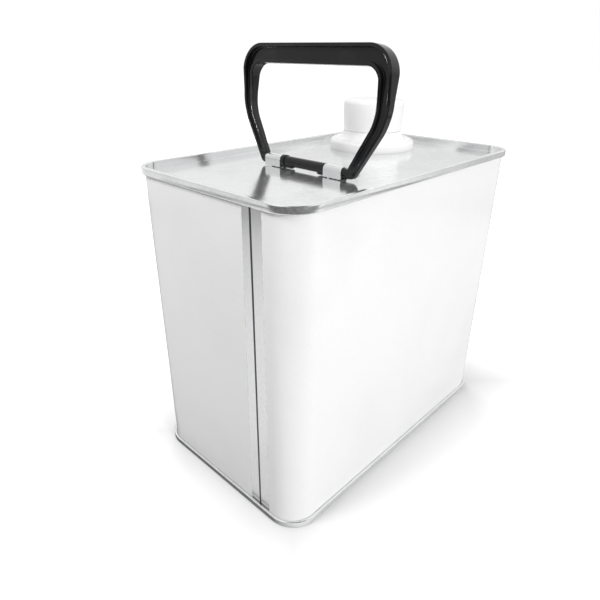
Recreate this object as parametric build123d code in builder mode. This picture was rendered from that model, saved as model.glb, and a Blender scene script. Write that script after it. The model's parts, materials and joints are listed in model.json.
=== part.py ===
from build123d import *
import os
from math import cos, radians, sin

# A two litre rectangular olive oil tin. Lengths are in millimetres, +Z is up, and the
# origin is the middle of the ring that the tin stands on. X runs along the long side.
# The welded body wall carries a folded lid and a folded base. The lid has a raised neck
# with a pouring spout under a cap, and two clips that hold a carrying handle.

# The can
body_length = 158.0
body_width = 95.0
tin_height = 143.5
corner_radius = 12.0
sheet = 0.3

# The double seam that joins each end to the wall
seam_height = 3.1
seam_gap = 0.16
seam_bend = 0.3
compound_thickness = 0.2
hook_gap = 0.25
countersink = 3.2
plate_inset = 2.6
sheet_overlap = 0.5

# The weld that closes the wall, on one short side, by its distance from the near long side
weld_inset = 20.9
weld_width = 0.8
weld_rise = 0.1

# The neck of the lid, under the closure, by its distances from the two sides beside it
closure_end_inset = 33.6
closure_side_inset = 31.9
neck_radius = 18.0
neck_height = 2.9
neck_bend = 0.6
curl_reach = 2.4
curl_drop = 1.3

# The gasket on the neck, and the closure ring that is pressed over both
gasket_thickness = 0.6
ring_radius = 22.3
ring_height = 4.7
ring_round = 1.7
ring_land = 0.6
ring_step = 0.4
shoulder_rise = 1.0
shoulder_round = 2.4
collar_radius = 15.4
collar_draft = 0.3
collar_height = 9.0
collar_round = 0.3
ring_wall = 1.3
snap_depth = 0.45
snap_height = 0.8
snap_level = 0.5
plug_clearance = 0.2
plug_wall = 1.3
plug_depth = 3.0
guide_wall = 1.2
guide_land = 6.0

# The spout that is drawn up through the ring
spout_radius = 12.8
spout_clearance = 0.15
spout_wall = 1.5
spout_travel = 12.0
stop_reach = 1.0
stop_height = 1.5
stop_gap = 0.3
lip_waist = 0.7
lip_edge = 0.5
lip_height = 2.4

# The cap that is pushed over the spout
cap_foot_radius = 15.3
cap_crown_radius = 15.9
cap_height = 24.6
cap_round = 2.2
cap_inner_round = 0.8
cap_wall = 1.0
cap_gap = 0.3
sleeve_clearance = 0.1
sleeve_wall = 0.8
sleeve_lift = 0.3
liner_thickness = 1.2
lip_gap = 0.15

# The handle: its pivot line, from the far end, its lean towards the closure, and its frame
pivot_inset = 51.95
pivot_height = 3.15
handle_y = -3.8
handle_lean = 5.0
bar_radius = 2.15
journal_radius = 1.7
journal_clearance = 0.1
journal_inset = 1.0
arm_root_inner = 22.0
arm_root_outer = 27.5
knee_inner_height = 20.3
knee_outer_height = 19.9
knee_inner_radius = 16.0
knee_outer_radius = 21.0
grip_inner = 33.7
grip_outer = 39.5
grip_top = 46.5
grip_depth = 7.6
grip_outer_round = 11.0
grip_inner_round = 5.5
heel_round = 2.4
arm_thickness = 2.4
arm_top_thickness = 3.4
arm_top_level = 27.0
grip_thickness = 5.4
grip_level = 37.0
rib_width = 1.4
web_thickness = 1.2
pocket_bottom = 3.2
end_play = 0.25
collar_width = 2.4
collar_bar_radius = 2.5
left_foot_inner = 7.9
right_foot_inner = 7.7
foot_radius = 2.95
foot_thickness = 3.2
notch_clearance = 0.4

# The two clips, by the middle of each along Y, from strips of the same sheet
left_clip_y = 15.0
right_clip_y = -19.7
clip_width = 9.4
clip_front_gap = 0.35
clip_flange = 9.0
clip_bend = 0.7
spot_radius = 1.6
spot_depth = 0.12
spot_inset = 4.6

# One overrun serves all cuts
overrun = 1.0

# Levels and lines that follow from the sizes above
closure_x = body_length / 2 - closure_end_inset
closure_y = body_width / 2 - closure_side_inset
pivot_x = pivot_inset - body_length / 2
weld_y = weld_inset - body_width / 2
panel_top = tin_height - countersink
pivot_z = panel_top + pivot_height
layer = sheet + seam_gap
seam_reach = 3 * layer
half_sheet = sheet / 2
hook_top = sheet + compound_thickness + half_sheet
clip_radius = journal_radius + journal_clearance + half_sheet
closure_axis = Axis((closure_x, closure_y, panel_top), (0, 0, 1))
closure_plane = Plane(origin=(closure_x, closure_y, panel_top), x_dir=(1, 0, 0), z_dir=(0, -1, 0))
lean = radians(handle_lean)
handle_plane = Plane(
    origin=(pivot_x, handle_y, pivot_z), x_dir=(0, 1, 0), z_dir=(cos(lean), 0, -sin(lean))
)


def seam_plane(crest, up):
    """Upright plane across the front long side: x points outwards and y points to the crest."""
    return Plane(origin=(0, -body_width / 2, crest), x_dir=(0, -1, 0), z_dir=(-up, 0, 0))


def folded_sheet(plane, points, bend):
    """Section of one bent sheet, given the points of its middle line."""
    with BuildSketch(plane) as section:
        with BuildLine() as middle:
            FilletPolyline(*points, radius=bend)
        trace(middle.line, line_width=sheet)
    return section.sketch


def rim_loop(crest):
    """Closed path round the outside of the wall, at the height of a crest."""
    half_x = body_length / 2
    half_y = body_width / 2
    with BuildLine(Plane.XY.offset(crest)) as loop:
        Line((0, -half_y), (half_x - corner_radius, -half_y))
        RadiusArc((half_x - corner_radius, -half_y), (half_x, corner_radius - half_y), -corner_radius)
        Line((half_x, corner_radius - half_y), (half_x, half_y - corner_radius))
        RadiusArc((half_x, half_y - corner_radius), (half_x - corner_radius, half_y), -corner_radius)
        Line((half_x - corner_radius, half_y), (corner_radius - half_x, half_y))
        RadiusArc((corner_radius - half_x, half_y), (-half_x, half_y - corner_radius), -corner_radius)
        Line((-half_x, half_y - corner_radius), (-half_x, corner_radius - half_y))
        RadiusArc((-half_x, corner_radius - half_y), (corner_radius - half_x, -half_y), -corner_radius)
        Line((corner_radius - half_x, -half_y), (0, -half_y))
    return loop.wire()


def end_fold(crest, up):
    """Section of an end: plate edge, chuck wall, crest, seaming wall and end hook."""
    chuck = -sheet - layer + half_sheet
    outside = seam_reach - half_sheet
    hook = seam_gap + half_sheet
    points = [
        (-plate_inset - sheet_overlap, half_sheet - countersink - sheet),
        (chuck, half_sheet - countersink - sheet),
        (chuck, -half_sheet),
        (outside, -half_sheet),
        (outside, half_sheet - seam_height),
        (hook, half_sheet - seam_height),
        (hook, -hook_top - half_sheet - hook_gap),
    ]
    return folded_sheet(seam_plane(crest, up), points, seam_bend)


def wall_hook(crest, up):
    """Section of the wall's flange: up the wall, over, and down inside the end's hook."""
    reach = 2 * layer - half_sheet
    points = [
        (-half_sheet, -seam_height),
        (-half_sheet, -hook_top),
        (reach, -hook_top),
        (reach, sheet + hook_gap - seam_height),
    ]
    return folded_sheet(seam_plane(crest, up), points, seam_bend)


def turned_section(corners):
    """Half section on the closure's axis, from corners given as radius, height and rounding."""
    with BuildSketch(closure_plane) as section:
        with BuildLine():
            FilletPolyline(
                *[(radius, height) for radius, height, _ in corners],
                radius=[rounding for _, _, rounding in corners],
                close=True,
            )
        make_face()
    return section.sketch


# Body wall: one sheet, bent round, welded along the overlap and flanged at both ends
with BuildPart() as body_shell:
    with BuildSketch(Plane.XY.offset(seam_height)):
        RectangleRounded(body_length, body_width, corner_radius)
        offset(amount=-sheet, mode=Mode.SUBTRACT)
    extrude(amount=tin_height - 2 * seam_height)
    sweep(wall_hook(tin_height, 1), path=rim_loop(tin_height))
    sweep(wall_hook(0, -1), path=rim_loop(0))
    weld_length = tin_height - 2 * seam_height - 2 * hook_gap
    with BuildSketch(Plane.XY.offset(seam_height + hook_gap)):
        with Locations((-body_length / 2 - weld_rise / 2, weld_y)):
            Rectangle(weld_rise + sheet, weld_width)
    extrude(amount=weld_length)
body_shell.part.label = "body_shell"

# Lid: countersunk plate with its seam, and the raised, curled neck for the closure
with BuildPart() as top_end:
    sweep(end_fold(tin_height, 1), path=rim_loop(tin_height))
    with BuildSketch(Plane.XY.offset(panel_top - sheet)):
        RectangleRounded(
            body_length - 2 * plate_inset, body_width - 2 * plate_inset, corner_radius - plate_inset
        )
        with Locations((closure_x, closure_y)):
            Circle(neck_radius + neck_bend + sheet_overlap, mode=Mode.SUBTRACT)
    extrude(amount=sheet)
    neck_line = neck_radius + half_sheet
    neck_points = [
        (neck_line + neck_bend + 2 * sheet_overlap, -half_sheet),
        (neck_line, -half_sheet),
        (neck_line, neck_height - half_sheet),
        (neck_line + curl_reach, neck_height - half_sheet),
        (neck_line + curl_reach, neck_height - half_sheet - curl_drop),
    ]
    revolve(folded_sheet(closure_plane, neck_points, neck_bend), axis=closure_axis)
top_end.part.label = "top_end"

# Base: the same countersunk plate and seam, upside down
with BuildPart() as bottom_end:
    sweep(end_fold(0, -1), path=rim_loop(0))
    with BuildSketch(Plane.XY.offset(countersink)):
        RectangleRounded(
            body_length - 2 * plate_inset, body_width - 2 * plate_inset, corner_radius - plate_inset
        )
    extrude(amount=sheet)
bottom_end.part.label = "bottom_end"


def compound_ring(level, name):
    """Sealing compound: a thin band under the crest of a seam, all the way round."""
    with BuildPart() as ring:
        with BuildSketch(Plane.XY.offset(level)):
            RectangleRounded(
                body_length + 2 * layer, body_width + 2 * layer, corner_radius + layer
            )
            RectangleRounded(body_length, body_width, corner_radius, mode=Mode.SUBTRACT)
        extrude(amount=compound_thickness)
    ring.part.label = name
    return ring.part


top_seam_compound = compound_ring(tin_height - sheet - compound_thickness, "top_seam_compound")
bottom_seam_compound = compound_ring(sheet, "bottom_seam_compound")


def handle_clip(middle_y, name):
    """Strip of sheet bent over a journal of the handle and spot welded behind it."""
    axis_plane = Plane(
        origin=(pivot_x, middle_y + clip_width / 2, pivot_z), x_dir=(1, 0, 0), z_dir=(0, -1, 0)
    )
    foot_level = half_sheet - pivot_height
    with BuildPart() as clip:
        with BuildSketch(axis_plane):
            with BuildLine() as strip:
                Line((-clip_radius, clip_front_gap - pivot_height), (-clip_radius, 0))
                RadiusArc((-clip_radius, 0), (clip_radius, 0), clip_radius)
                FilletPolyline(
                    (clip_radius, 0),
                    (clip_radius, foot_level),
                    (clip_radius + clip_flange, foot_level),
                    radius=clip_bend,
                )
            trace(strip.line, line_width=sheet)
        extrude(amount=clip_width)
        spot_plane = Plane.XY.offset(panel_top + sheet)
        with BuildSketch(spot_plane):
            with Locations((pivot_x + clip_radius + spot_inset, middle_y)):
                with GridLocations(0, clip_width / 2, 1, 2):
                    Circle(spot_radius)
        extrude(amount=-spot_depth, mode=Mode.SUBTRACT)
    clip.part.label = name
    return clip.part


left_handle_clip = handle_clip(left_clip_y, "left_handle_clip")
right_handle_clip = handle_clip(right_clip_y, "right_handle_clip")

# Places of the clips' facing ends, measured from the middle of the handle
left_stop = left_clip_y - clip_width / 2 - handle_y - end_play
right_stop = handle_y - right_clip_y - clip_width / 2 - end_play
left_notch = left_clip_y + clip_width / 2 - handle_y + notch_clearance
right_notch = handle_y - right_clip_y + clip_width / 2 + notch_clearance
notch_radius = clip_radius + half_sheet + notch_clearance
heel = -bar_radius
outer_slope = (grip_outer - arm_root_outer) / knee_outer_height
inner_slope = (grip_inner - arm_root_inner) / knee_inner_height


def frame_outline(plane, inset):
    """The handle's frame seen square on, as an arch, drawn in from its edges by an inset."""
    with BuildSketch(plane) as outline:
        with BuildLine():
            FilletPolyline(
                (0, grip_top),
                (grip_outer, grip_top),
                (grip_outer, knee_outer_height),
                (arm_root_outer + heel * outer_slope, heel),
                (arm_root_inner + heel * inner_slope, heel),
                (grip_inner, knee_inner_height),
                (grip_inner, grip_top - grip_depth),
                (0, grip_top - grip_depth),
                radius=[
                    grip_outer_round,
                    knee_outer_radius,
                    heel_round,
                    0,
                    knee_inner_radius,
                    grip_inner_round,
                ],
            )
            Line((0, grip_top - grip_depth), (0, grip_top))
        make_face()
        mirror(about=Plane.YZ)
        if inset:
            offset(amount=-inset, mode=Mode.REPLACE)
    return outline.sketch


def pocket_outline(plane):
    """The recess between the frame's edge ribs, which stops short of the pivot."""
    with BuildSketch(plane) as pocket:
        add(frame_outline(Plane.XY, rib_width))
        with Locations((0, pocket_bottom - grip_top)):
            Rectangle(2 * (grip_outer + overrun), 2 * grip_top, mode=Mode.SUBTRACT)
    return pocket.sketch


def bar_section(radius, start):
    """Round section of the lower bar, at a place along Y from the middle of the handle."""
    with BuildSketch(bar_plane.offset(start)) as section:
        Circle(radius)
    return section.sketch


def foot_section(start):
    """Section of a foot under the bar: as wide as the bar and rounded about the pivot."""
    with BuildSketch(bar_plane.offset(start)) as section:
        Circle(foot_radius)
        with Locations((0, foot_radius / 2)):
            Rectangle(foot_thickness, foot_radius, mode=Mode.INTERSECT)
    return section.sketch


# Handle: one moulding, a closed frame whose lower bar turns in the clips
bar_plane = Plane(
    origin=(pivot_x, handle_y, pivot_z), x_dir=handle_plane.z_dir, z_dir=(0, 1, 0)
)
side_plane = Plane(
    origin=(pivot_x, handle_y, pivot_z), x_dir=handle_plane.z_dir, z_dir=(0, -1, 0)
)
with BuildPart() as handle:
    extrude(frame_outline(handle_plane, 0), amount=grip_thickness, both=True)
    # Side profile: thin at the pivot, thicker up the arms and at the grip
    with BuildSketch(side_plane) as side_profile:
        with BuildLine():
            Polyline(
                (0, heel - overrun),
                (arm_thickness / 2, heel - overrun),
                (arm_thickness / 2, 0),
                (arm_top_thickness / 2, arm_top_level),
                (grip_thickness / 2, grip_level),
                (grip_thickness / 2, grip_top + overrun),
                (0, grip_top + overrun),
                close=True,
            )
        make_face()
        mirror(about=Plane.YZ)
    extrude(amount=grip_outer + overrun, both=True, mode=Mode.INTERSECT)
    for side in (1, -1):
        pocket_floor = handle_plane.offset(side * web_thickness / 2)
        extrude(pocket_outline(pocket_floor), amount=side * grip_thickness, mode=Mode.SUBTRACT)
    # Room for the outer ends of the clips, then the bar, its journals, collar and feet
    extrude(bar_section(notch_radius, -right_notch), amount=left_notch + right_notch, mode=Mode.SUBTRACT)
    journal_end = arm_root_outer - journal_inset
    extrude(bar_section(journal_radius, -journal_end), amount=2 * journal_end)
    extrude(bar_section(bar_radius, -right_stop), amount=left_stop + right_stop)
    extrude(bar_section(collar_bar_radius, left_stop - collar_width), amount=collar_width)
    extrude(foot_section(left_foot_inner), amount=left_stop - left_foot_inner)
    extrude(foot_section(-right_stop), amount=right_stop - right_foot_inner)
handle.part.label = "handle"

# Levels of the closure, from the top of the lid's plate
under_ring = neck_height + gasket_thickness
guide_bore = spout_radius + stop_reach + spout_clearance
guide_shoulder = collar_height - guide_land
stop_top = guide_shoulder - spout_travel - stop_gap
guide_bottom = stop_top - stop_height - stop_gap
ring_bore = ring_radius - ring_wall
plug_radius = neck_radius - plug_clearance
liner_bottom = cap_height - cap_wall - liner_thickness
spout_top = liner_bottom - lip_gap
cap_foot = collar_height + cap_gap
sleeve_bore = spout_radius + sleeve_clearance

# Gasket: a flat ring between the neck's curl and the closure ring
with BuildPart() as neck_gasket:
    with BuildSketch(Plane.XY.offset(panel_top + neck_height)):
        with Locations((closure_x, closure_y)):
            Circle(neck_radius + curl_reach)
            Circle(neck_radius, mode=Mode.SUBTRACT)
    extrude(amount=gasket_thickness)
neck_gasket.part.label = "neck_gasket"

# Closure ring: snaps under the curl, plugs the neck and guides the spout
step_radius = ring_radius - ring_round - ring_land
step_top = ring_height + ring_step
ring_corners = [
    (ring_radius, 0, 0),
    (ring_radius, ring_height, ring_round),
    (step_radius, ring_height, 0),
    (step_radius, step_top, 0),
    (collar_radius + collar_draft, step_top + shoulder_rise, shoulder_round),
    (collar_radius, collar_height, collar_round),
    (spout_radius + spout_clearance, collar_height, 0),
    (spout_radius + spout_clearance, guide_shoulder, 0),
    (guide_bore, guide_shoulder, 0),
    (guide_bore, guide_bottom, 0),
    (guide_bore + guide_wall, guide_bottom, 0),
    (guide_bore + guide_wall, under_ring, 0),
    (plug_radius - plug_wall, under_ring, 0),
    (plug_radius - plug_wall, -plug_depth, 0),
    (plug_radius, -plug_depth, 0),
    (plug_radius, under_ring, 0),
    (ring_bore, under_ring, 0),
    (ring_bore, snap_level + snap_height, 0),
    (ring_bore - snap_depth, snap_level + snap_height / 2, 0),
    (ring_bore, snap_level, 0),
    (ring_bore, 0, 0),
]
with BuildPart() as closure_ring:
    revolve(turned_section(ring_corners), axis=closure_axis)
closure_ring.part.label = "closure_ring"

# Spout: a tube with a stop at its foot and a drip edge at its mouth
spout_bore = spout_radius - spout_wall
spout_corners = [
    (spout_bore, stop_top - stop_height, 0),
    (spout_radius + stop_reach, stop_top - stop_height, 0),
    (spout_radius + stop_reach, stop_top, 0),
    (spout_radius, stop_top, 0),
    (spout_radius, spout_top - 2 * lip_height, 0),
    (spout_radius - lip_waist, spout_top - lip_height, lip_height),
    (spout_radius, spout_top, 0),
    (spout_radius - lip_edge, spout_top, 0),
    (spout_bore, spout_top - lip_height, 0),
]
with BuildPart() as pull_up_spout:
    revolve(turned_section(spout_corners), axis=closure_axis)
pull_up_spout.part.label = "pull_up_spout"

# Cap: an outer skirt that widens upwards, and a sleeve that grips the spout
cap_corners = [
    (0, cap_height, 0),
    (cap_crown_radius, cap_height, cap_round),
    (cap_foot_radius, cap_foot, 0),
    (cap_foot_radius - cap_wall, cap_foot, 0),
    (cap_crown_radius - cap_wall, cap_height - cap_wall, cap_inner_round),
    (sleeve_bore + sleeve_wall, cap_height - cap_wall, 0),
    (sleeve_bore + sleeve_wall, cap_foot + sleeve_lift, 0),
    (sleeve_bore, cap_foot + sleeve_lift, 0),
    (sleeve_bore, cap_height - cap_wall, 0),
    (0, cap_height - cap_wall, 0),
]
with BuildPart() as spout_cap:
    revolve(turned_section(cap_corners), axis=closure_axis)
spout_cap.part.label = "spout_cap"

# Liner: a soft disc pressed into the cap, which shuts the spout's mouth
with BuildPart() as cap_liner:
    with BuildSketch(Plane.XY.offset(panel_top + liner_bottom)):
        with Locations((closure_x, closure_y)):
            Circle(spout_radius)
    extrude(amount=liner_thickness)
cap_liner.part.label = "cap_liner"

finished = [
    body_shell.part,
    top_end.part,
    bottom_end.part,
    top_seam_compound,
    bottom_seam_compound,
    left_handle_clip,
    right_handle_clip,
    handle.part,
    neck_gasket.part,
    closure_ring.part,
    pull_up_spout.part,
    spout_cap.part,
    cap_liner.part,
]
os.makedirs("parts", exist_ok=True)
for piece in finished:
    export_step(piece, f"parts/{piece.label}.step")
    print(piece.label, len(piece.solids()), round(piece.volume))
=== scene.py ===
# %% [markdown]
# A rectangular tin for olive oil, with a pouring closure and a folding handle.
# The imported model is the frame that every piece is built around. It is in metres, with
# the floor at zero, and each piece below takes the place of one of its nodes.

# %% Load the frame
import json
import math

import bmesh
import bpy
from mathutils import Matrix, Vector

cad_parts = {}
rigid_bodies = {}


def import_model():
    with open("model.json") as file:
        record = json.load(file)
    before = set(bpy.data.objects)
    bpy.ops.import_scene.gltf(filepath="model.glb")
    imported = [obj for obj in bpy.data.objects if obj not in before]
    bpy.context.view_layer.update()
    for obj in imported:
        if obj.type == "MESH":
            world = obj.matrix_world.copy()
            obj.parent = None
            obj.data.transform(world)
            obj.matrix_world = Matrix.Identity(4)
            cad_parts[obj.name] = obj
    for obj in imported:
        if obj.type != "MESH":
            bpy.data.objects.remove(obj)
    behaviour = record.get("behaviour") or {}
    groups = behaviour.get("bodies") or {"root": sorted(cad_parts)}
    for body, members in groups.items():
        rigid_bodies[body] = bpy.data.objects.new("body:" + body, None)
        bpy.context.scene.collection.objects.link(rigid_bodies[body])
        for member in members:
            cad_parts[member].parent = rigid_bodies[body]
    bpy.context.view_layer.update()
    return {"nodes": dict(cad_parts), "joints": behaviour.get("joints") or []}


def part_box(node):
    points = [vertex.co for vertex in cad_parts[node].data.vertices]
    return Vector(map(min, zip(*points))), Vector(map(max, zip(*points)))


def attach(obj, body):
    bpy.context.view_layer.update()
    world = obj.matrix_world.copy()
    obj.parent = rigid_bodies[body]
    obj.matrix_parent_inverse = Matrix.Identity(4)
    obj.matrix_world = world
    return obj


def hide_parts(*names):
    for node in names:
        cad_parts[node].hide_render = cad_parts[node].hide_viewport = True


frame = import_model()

print("The frame holds", ", ".join(sorted(frame["nodes"])))

# %% [markdown]
# A tin is all sheet metal. One gauge of tinplate makes the wall, the lid, the base and
# the clips, so the sheet's thickness and the seam's layers are given once, here. The
# places come from the frame: the wall's outside, the lid's plate and the closure's axis.

# %% Sizes of the can and its seams
MM = 0.001
SHEET = 0.3 * MM
HALF_SHEET = SHEET / 2
SEAM_GAP = 0.16 * MM
SEAM_BEND = 0.3 * MM
SEAM_HEIGHT = 3.1 * MM
COMPOUND = 0.2 * MM
HOOK_GAP = 0.25 * MM
COUNTERSINK = 3.2 * MM
PLATE_INSET = 2.6 * MM
CORNER_RADIUS = 12 * MM
LAYER = SHEET + SEAM_GAP
SEAM_REACH = 3 * LAYER
HOOK_TOP = SHEET + COMPOUND + HALF_SHEET

can_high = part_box("top_end")[1]
HALF_LENGTH = can_high.x - SEAM_REACH
HALF_WIDTH = can_high.y - SEAM_REACH
CREST = can_high.z
PANEL = CREST - COUNTERSINK
ring_low, ring_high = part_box("closure_ring")
CLOSURE = Vector(((ring_low.x + ring_high.x) / 2, (ring_low.y + ring_high.y) / 2, PANEL))
swing = next(joint for joint in frame["joints"] if joint["name"] == "handle_swing")
PIVOT = Vector(swing["pos_m"])
print("Wall", 2 * HALF_LENGTH, "by", 2 * HALF_WIDTH, "crest at", CREST, "panel at", PANEL)

# %% [markdown]
# Every piece starts as it would by hand: a primitive is added, shaped in edit mode, and
# finished with modifiers. Most of this tin is a section carried along a path, so the
# first helpers draw a section. A small plane is merged to one vertex, the vertex is
# extruded from corner to corner, and each corner is rounded with a vertex bevel.

# %% Helpers that draw a section
NEAR = 0.001 * MM
ARC_SAG = 0.004 * MM
FACING = 0.9
SELECT_MODES = {"verts": "VERT", "edges": "EDGE", "faces": "FACE"}


def leave_edit_mode():
    """Back to object mode, from wherever the last step ended."""
    if bpy.context.mode != "OBJECT":
        bpy.ops.object.mode_set(mode="OBJECT")


def add_plane(name, size):
    """A plane that lies at the origin and is selected alone."""
    leave_edit_mode()
    bpy.ops.object.select_all(action="DESELECT")
    bpy.ops.mesh.primitive_plane_add(size=size)
    plane = bpy.context.object
    plane.name = name
    plane.data.name = name
    return plane


def new_piece(name):
    """An empty mesh at the origin, open in edit mode."""
    piece = add_plane(name, MM)
    bpy.ops.object.mode_set(mode="EDIT")
    select_everything()
    bpy.ops.mesh.delete(type="VERT")
    return piece


def select_where(kind, test):
    """Selects only those verts, edges or faces of the open mesh that pass a test."""
    bpy.ops.mesh.select_mode(type=SELECT_MODES[kind])
    bpy.ops.mesh.select_all(action="DESELECT")
    mesh = bpy.context.edit_object.data
    cage = bmesh.from_edit_mesh(mesh)
    for element in getattr(cage, kind):
        if test(element):
            element.select_set(True)
    cage.select_flush_mode()
    bmesh.update_edit_mesh(mesh)


def select_at(place):
    """Selects the vertex at a place, and nothing else."""
    select_where("verts", lambda vert: (vert.co - place).length < NEAR)


def select_everything():
    """Selects the whole open mesh."""
    bpy.ops.mesh.select_all(action="SELECT")


def extrude_by(step):
    """Extrudes what is selected by a step."""
    bpy.ops.mesh.extrude_region_move(TRANSFORM_OT_translate={"value": step})


def arc_steps(radius, turn):
    """How many straight steps an arc needs, so that none is off it by more than the sag."""
    return max(2, math.ceil(turn / (2 * math.acos(1 - ARC_SAG / radius))))


def draw_line(corners, closed=False):
    """Draws a line through corners, each a place and a rounding, and leaves it selected."""
    places = [Vector(place) for place, _ in corners]
    bpy.ops.mesh.select_mode(type="VERT")
    bpy.ops.mesh.select_all(action="DESELECT")
    bpy.ops.mesh.primitive_plane_add(size=MM, location=places[0])
    bpy.ops.mesh.merge(type="CENTER")
    for here, there in zip(places, places[1:]):
        extrude_by(there - here)
    if closed:
        ends = (places[0], places[-1])
        select_where("verts", lambda vert: min((vert.co - end).length for end in ends) < NEAR)
        bpy.ops.mesh.edge_face_add()
    for index, (_, rounding) in enumerate(corners):
        if not rounding:
            continue
        middle = places[index]
        before = middle - places[index - 1]
        after = places[(index + 1) % len(places)] - middle
        turn = before.angle(after)
        select_at(middle)
        bpy.ops.mesh.bevel(
            offset=rounding * math.tan(turn / 2),
            segments=arc_steps(rounding, turn),
            affect="VERTICES",
        )
    select_at(places[0])
    bpy.ops.mesh.select_linked()


def draw_section(place, corners, closed=False):
    """Draws corners, each a reach, a height and a rounding, where a function places them."""
    draw_line([(place(reach, height), bend) for reach, height, bend in corners], closed)


# %% [markdown]
# A section becomes a surface in one of two ways. The closure's pieces are round, so
# their sections are spun about its axis. The can's seams run round a rectangle with
# round corners, so their section is extruded along each side and spun at each corner,
# as the seaming rollers travel. Without a window, spin turns clockwise about its axis,
# so the axis points down here.

# %% Helpers that carry a section
TURN_STEPS = 128
CORNER_STEPS = 24


def close_up():
    """Joins what meets, and points every face outwards."""
    select_everything()
    bpy.ops.mesh.remove_doubles(threshold=NEAR)
    bpy.ops.mesh.normals_make_consistent(inside=False)


def spin_section(middle, axis=(0, 0, 1)):
    """Spins the selected line a full turn, and closes it."""
    bpy.ops.mesh.spin(steps=TURN_STEPS, angle=math.tau, center=middle, axis=axis)
    close_up()


def carry_round_can():
    """Carries the selected section from the middle of the front once round the can."""
    run_x = HALF_LENGTH - CORNER_RADIUS
    run_y = HALF_WIDTH - CORNER_RADIUS
    runs = ((run_x, 0, 0), (0, 2 * run_y, 0), (-2 * run_x, 0, 0), (0, -2 * run_y, 0))
    middles = ((run_x, -run_y, 0), (run_x, run_y, 0), (-run_x, run_y, 0), (-run_x, -run_y, 0))
    for run, middle in zip(runs, middles):
        extrude_by(run)
        bpy.ops.mesh.spin(steps=CORNER_STEPS, angle=math.pi / 2, center=middle, axis=(0, 0, -1))
    extrude_by(runs[0])
    close_up()


def apply_modifier(piece, kind, **settings):
    """Adds a modifier, sets it up and applies it."""
    leave_edit_mode()
    bpy.context.view_layer.objects.active = piece
    modifier = piece.modifiers.new(kind.lower(), kind)
    for setting, value in settings.items():
        setattr(modifier, setting, value)
    bpy.ops.object.modifier_apply(modifier=modifier.name)


def give_thickness(piece):
    """Makes a sheet of a piece, half its thickness to each side."""
    apply_modifier(piece, "SOLIDIFY", thickness=SHEET, offset=0)


# %% [markdown]
# A finished piece is smooth where it curves and crisp where it folds. Weighted normals
# keep the flat faces flat, which matters most on the lid, because it is nearly a mirror.
# The joining steps leave empty material slots, so these are cleared first. Then the
# piece is handed to the body it rides on, and the node it stands for is hidden.

# %% Finish a piece
SMOOTH_ANGLE = math.radians(35)


def finish_piece(piece, finish, slot, body, *nodes):
    """Shades a piece, gives it its material and hands it to its body."""
    leave_edit_mode()
    bpy.ops.object.select_all(action="DESELECT")
    piece.select_set(True)
    bpy.context.view_layer.objects.active = piece
    bpy.ops.object.shade_smooth_by_angle(angle=SMOOTH_ANGLE)
    apply_modifier(piece, "WEIGHTED_NORMAL", keep_sharp=True)
    piece.data.materials.clear()
    piece.data.materials.append(finish)
    for face in piece.data.polygons:
        face.material_index = 0
    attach(piece, body)
    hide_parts(*nodes)
    print(piece.name, len(piece.data.polygons), "faces")


# %% [markdown]
# Materials are made of nodes, and a few small helpers keep their making short. Each adds
# one node beside the socket it is given, feeds it, and gives back what the node puts out.
# A mask is a number that is 0 in one place and 1 in another.

# %% Helpers for nodes
NUMBER_RESULTS = ("LENGTH", "DOT_PRODUCT")


def feed(value, socket):
    """Gives a socket its value: what another node puts out, a colour, or a number."""
    if isinstance(value, bpy.types.NodeSocket):
        socket.id_data.links.new(value, socket)
        return
    socket.default_value = (*value, 1) if socket.type == "RGBA" else value


def set_inputs(node, **values):
    """Feeds a node's inputs, each named with underscores between its words."""
    for label, value in values.items():
        feed(value, node.inputs[label.replace("_", " ")])


def add_beside(near, kind):
    """A new node in the node tree that a socket or another node belongs to."""
    return near.id_data.nodes.new(kind)


def calculate(first, operation, second=0):
    """A sum, a product or a comparison of two numbers."""
    node = add_beside(first, "ShaderNodeMath")
    node.operation = operation
    feed(first, node.inputs[0])
    feed(second, node.inputs[1])
    return node.outputs["Value"]


def all_of(mask, *others):
    """1 where all of the masks are 1."""
    for other in others:
        mask = calculate(mask, "MULTIPLY", other)
    return mask


def choose(mask, first, second, kind="FLOAT"):
    """The first value where the mask is 0, and the second where it is 1."""
    mix = add_beside(mask, "ShaderNodeMix")
    mix.data_type = kind
    set_inputs(mix, Factor=mask, A=first, B=second)
    return mix.outputs["Result"]


def map_value(value, low, high, start=0.0, end=1.0):
    """A number that goes from low to high while the value goes from start to end."""
    mapping = add_beside(value, "ShaderNodeMapRange")
    set_inputs(mapping, Value=value, From_Min=start, From_Max=end, To_Min=low, To_Max=high)
    return mapping.outputs["Result"]


def rise(value, start, end):
    """A soft mask: 0 before start, and 1 past end."""
    return map_value(value, 0, 1, start, end)


def vector_math(operation, first, second=(0, 0, 0)):
    """An operation on one vector or two."""
    node = add_beside(first, "ShaderNodeVectorMath")
    node.operation = operation
    feed(first, node.inputs[0])
    feed(second, node.inputs[1])
    return node.outputs["Value" if operation in NUMBER_RESULTS else "Vector"]


def object_places(tree):
    """Where each point lies in its own piece."""
    return tree.nodes.new("ShaderNodeTexCoord").outputs["Object"]


def split_axes(places):
    """The x, the y and the z of a place or a direction."""
    split = add_beside(places, "ShaderNodeSeparateXYZ")
    set_inputs(split, Vector=places)
    return (split.outputs[axis] for axis in "XYZ")


# %% [markdown]
# Two effects turn up in every finish, so each is a node group that is built once. Grain
# is a fine noise, which can be stretched into the streaks that rolling leaves on steel.
# Smudge is a soft, large pattern of faint handling marks. Both read Object coordinates,
# so a pattern stays on its piece when the piece moves.

# %% Shared node groups
GRAIN_DETAIL = 3
SMUDGE_DETAIL, SMUDGE_DISTORTION = 6, 0.6
SMUDGE_EDGE = (0.4, 0.7)


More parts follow.
